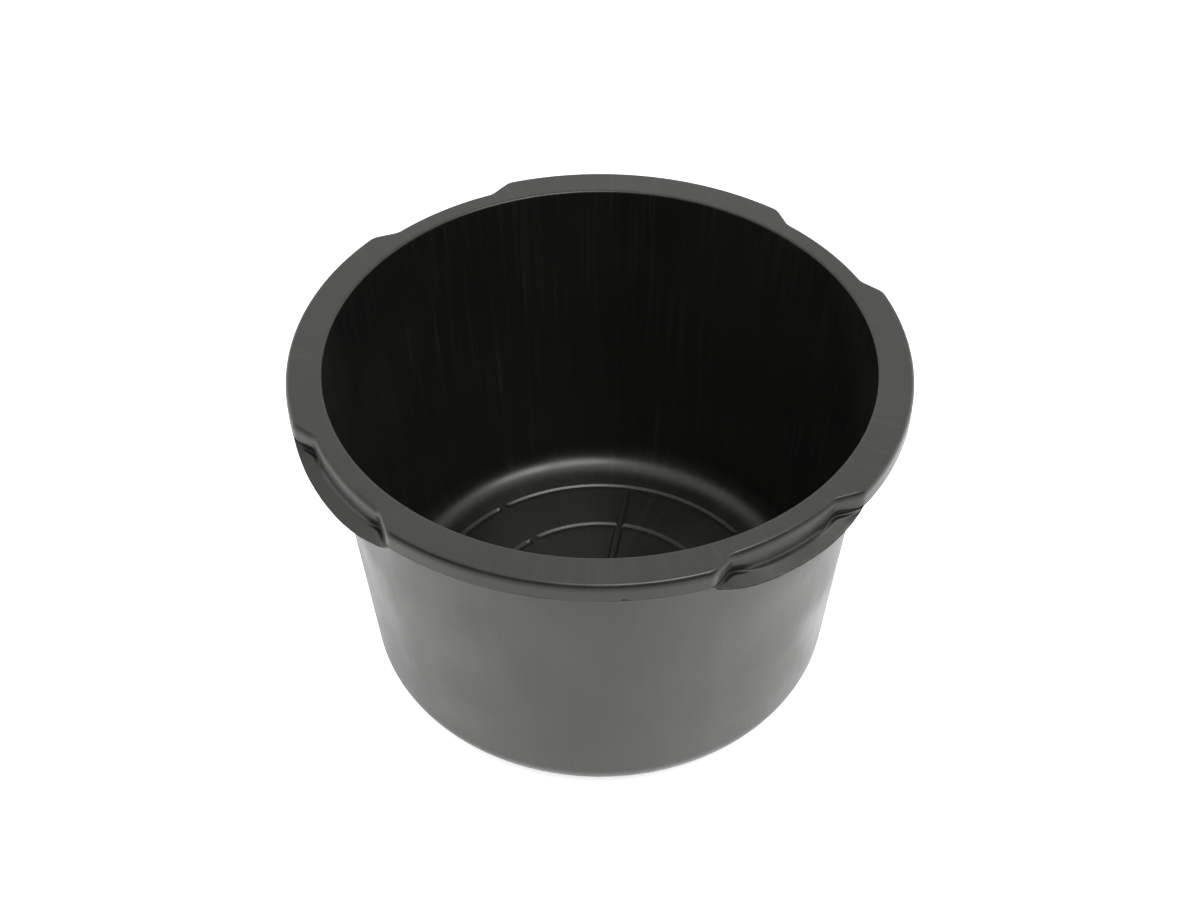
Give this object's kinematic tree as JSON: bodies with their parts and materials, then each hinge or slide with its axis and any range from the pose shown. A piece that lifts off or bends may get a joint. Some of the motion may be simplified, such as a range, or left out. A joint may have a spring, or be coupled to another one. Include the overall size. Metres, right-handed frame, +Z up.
{
  "type": "mortar mixing tub",
  "caption": "Round, tapered black plastic mixing tub with a wide flat rim, a turned-down skirt, stepped-in hand grips and ring grooves pressed into its floor.",
  "frame": {"origin": "on the ground at the tub's centre line, midway between the foot rings' undersides", "axes": "+Z up out of the mouth, +X and +Y through the hand grips"},
  "size_m": [0.66, 0.66, 0.408],
  "materials": {
    "black_plastic": "fine moulded grain, satin, lightly scuffed",
    "black_plastic_inside": "smoother and slightly glossier than the outside"
  },
  "bodies": {
    "root": {"floor_panel": "black_plastic_inside", "foot_ring_inner": "black_plastic", "foot_ring_outer": "black_plastic", "foot_spokes": "black_plastic", "base_bend": "black_plastic", "side_wall": "black_plastic", "rim_flange": "black_plastic", "hand_grip_1": "black_plastic", "hand_grip_2": "black_plastic", "hand_grip_3": "black_plastic", "hand_grip_4": "black_plastic", "rim_skirt_1": "black_plastic", "rim_skirt_2": "black_plastic", "rim_skirt_3": "black_plastic", "rim_skirt_4": "black_plastic"}
  },
  "joints": []
}
